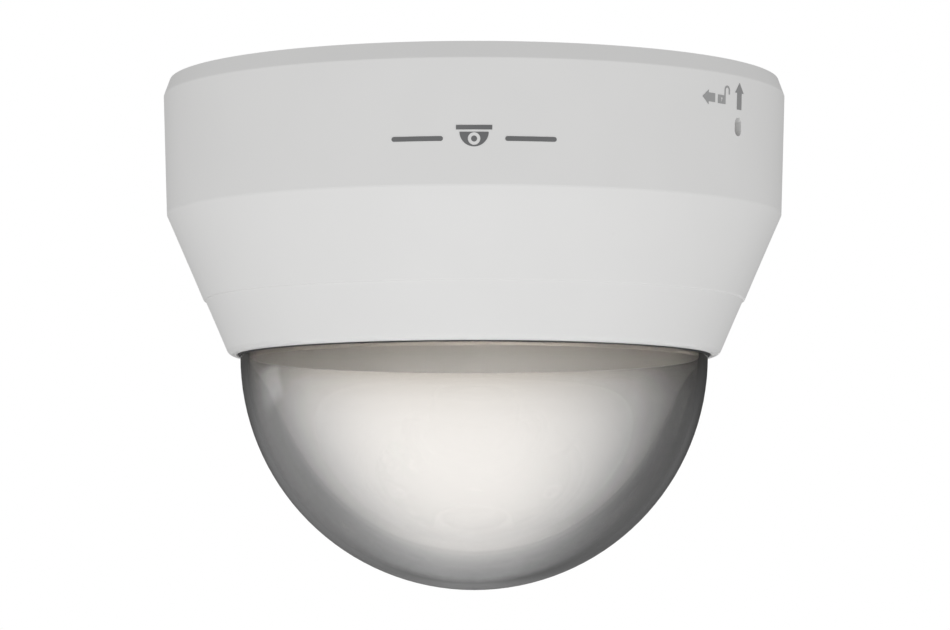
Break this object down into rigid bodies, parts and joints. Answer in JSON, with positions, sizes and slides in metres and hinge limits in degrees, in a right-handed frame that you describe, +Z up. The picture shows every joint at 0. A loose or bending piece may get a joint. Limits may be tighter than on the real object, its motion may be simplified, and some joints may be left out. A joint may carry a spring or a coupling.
{
  "type": "ceiling dome camera",
  "caption": "Ceiling dome camera: white stepped cover and smoked half-sphere dome, twisted onto a base plate with a main board and a panning, tilting varifocal lens.",
  "frame": {"origin": "centre of the base plate's ceiling face", "axes": "+Z up into the ceiling, out of the ceiling face; the camera hangs into -Z; -Y is its front, +X is on the viewer's right"},
  "size_m": [0.132, 0.132, 0.1081],
  "materials": {
    "cover_plastic": "fine matt white moulded plastic",
    "inner_plastic": "matt white moulded plastic",
    "smoked_dome": "clear polycarbonate with a light smoke tint, polished",
    "seal_rubber": "black rubber",
    "green_board": "green solder mask",
    "steel_screw": "zinc-plated steel",
    "jack_metal": "tinned sheet metal",
    "black_plastic": "black moulded plastic",
    "contact_gold": "gold-plated contacts",
    "terminal_green": "green moulded plastic",
    "chip_epoxy": "black epoxy",
    "black_anodised": "black anodised aluminium",
    "ferrite": "dark ferrite",
    "can_aluminium": "bare aluminium can with a dark mark",
    "card_plastic": "black card",
    "gimbal_plastic": "black glass-filled plastic",
    "washer_steel": "bright steel",
    "sensor_silicon": "dark silicon under cover glass",
    "red_filter": "infrared-cut filter glass with a pink sheen",
    "clear_glass": "clear filter glass",
    "lens_glass": "coated lens glass",
    "lens_black": "black anodised, satin"
  },
  "bodies": {
    "base": {"base_plate": "inner_plastic", "cable_grommet": "seal_rubber", "main_board": "green_board", "board_screws": "steel_screw", "network_jack_shell": "jack_metal", "network_jack_insert": "black_plastic", "jack_contacts": "contact_gold", "power_terminal": "terminal_green", "terminal_screws": "steel_screw", "processor_chip": "chip_epoxy", "processor_heatsink": "black_anodised", "memory_chips": "chip_epoxy", "network_transformer": "chip_epoxy", "power_inductor": "ferrite", "board_capacitors": "can_aluminium", "card_socket": "jack_metal", "reset_switch": "jack_metal", "camera_connector": "inner_plastic", "pan_washer": "washer_steel", "pan_pivot_screw": "steel_screw"},
    "bayonet": {"bayonet_ring": "inner_plastic", "bayonet_screws": "steel_screw"},
    "cover": {"cover_shell": "cover_plastic", "trim_ring": "cover_plastic", "dome_bubble": "smoked_dome", "dome_gasket": "seal_rubber", "dome_retainer": "inner_plastic"},
    "latch": {"release_latch": "cover_plastic"},
    "card": {"memory_card": "card_plastic"},
    "reset": {"reset_button": "black_plastic"},
    "pan": {"pan_yoke": "gimbal_plastic"},
    "tilt": {"tilt_cradle": "gimbal_plastic", "tilt_screws": "steel_screw", "tilt_washers": "washer_steel"},
    "lens": {"lens_holder": "gimbal_plastic", "holder_clip": "washer_steel", "sensor_board": "green_board", "sensor_screws": "steel_screw", "sensor_connector": "inner_plastic", "image_sensor": "sensor_silicon", "filter_housing": "black_plastic", "lens_barrel": "lens_black", "rear_lens": "lens_glass", "iris_plate": "lens_black", "front_lens": "lens_glass", "lens_bezel": "lens_black"},
    "filter": {"filter_carriage": "black_plastic", "infrared_filter": "red_filter", "clear_filter": "clear_glass"},
    "zoom": {"zoom_ring": "lens_black", "zoom_lock_knob": "black_plastic"},
    "focus": {"focus_ring": "lens_black", "focus_lock_knob": "black_plastic"}
  },
  "joints": [
    {"name": "cover_twist", "type": "hinge", "parent": "base", "child": "bayonet", "pos_m": [0, 0, 0], "axis": [0, 0, 1], "range_deg": [-20, 0]},
    {"name": "cover_drop", "type": "slide", "parent": "bayonet", "child": "cover", "axis": [0, 0, 1], "range_m": [-0.115, 0]},
    {"name": "latch_press", "type": "slide", "parent": "base", "child": "latch", "axis": [0.8192, -0.5736, 0], "range_m": [-0.0015, 0], "stiffness_N_per_m": 500, "springref_m": 0.0004},
    {"name": "card_eject", "type": "slide", "parent": "base", "child": "card", "axis": [0, -1, 0], "range_m": [0, 0.004]},
    {"name": "reset_press", "type": "slide", "parent": "base", "child": "reset", "axis": [0, 0, 1], "range_m": [0, 0.0003], "stiffness_N_per_m": 1500, "springref_m": -0.0002},
    {"name": "pan_turn", "type": "hinge", "parent": "base", "child": "pan", "pos_m": [0, 0, -0.0093], "axis": [0, 0, 1], "range_deg": [-170, 170]},
    {"name": "tilt_turn", "type": "hinge", "parent": "pan", "child": "tilt", "pos_m": [0, 0, -0.0341], "axis": [-1, 0, 0], "range_deg": [0, 60]},
    {"name": "lens_rotate", "type": "hinge", "parent": "tilt", "child": "lens", "pos_m": [0, 0, -0.0341], "axis": [0, 0, 1], "range_deg": [-170, 170]},
    {"name": "filter_slide", "type": "slide", "parent": "lens", "child": "filter", "axis": [-1, 0, 0], "range_m": [0, 0.006]},
    {"name": "zoom_turn", "type": "hinge", "parent": "lens", "child": "zoom", "pos_m": [0, 0, -0.0341], "axis": [0, 0, 1], "range_deg": [-40, 40]},
    {"name": "focus_turn", "type": "hinge", "parent": "lens", "child": "focus", "pos_m": [0, 0, -0.0341], "axis": [0, 0, 1], "range_deg": [-40, 40]}
  ]
}
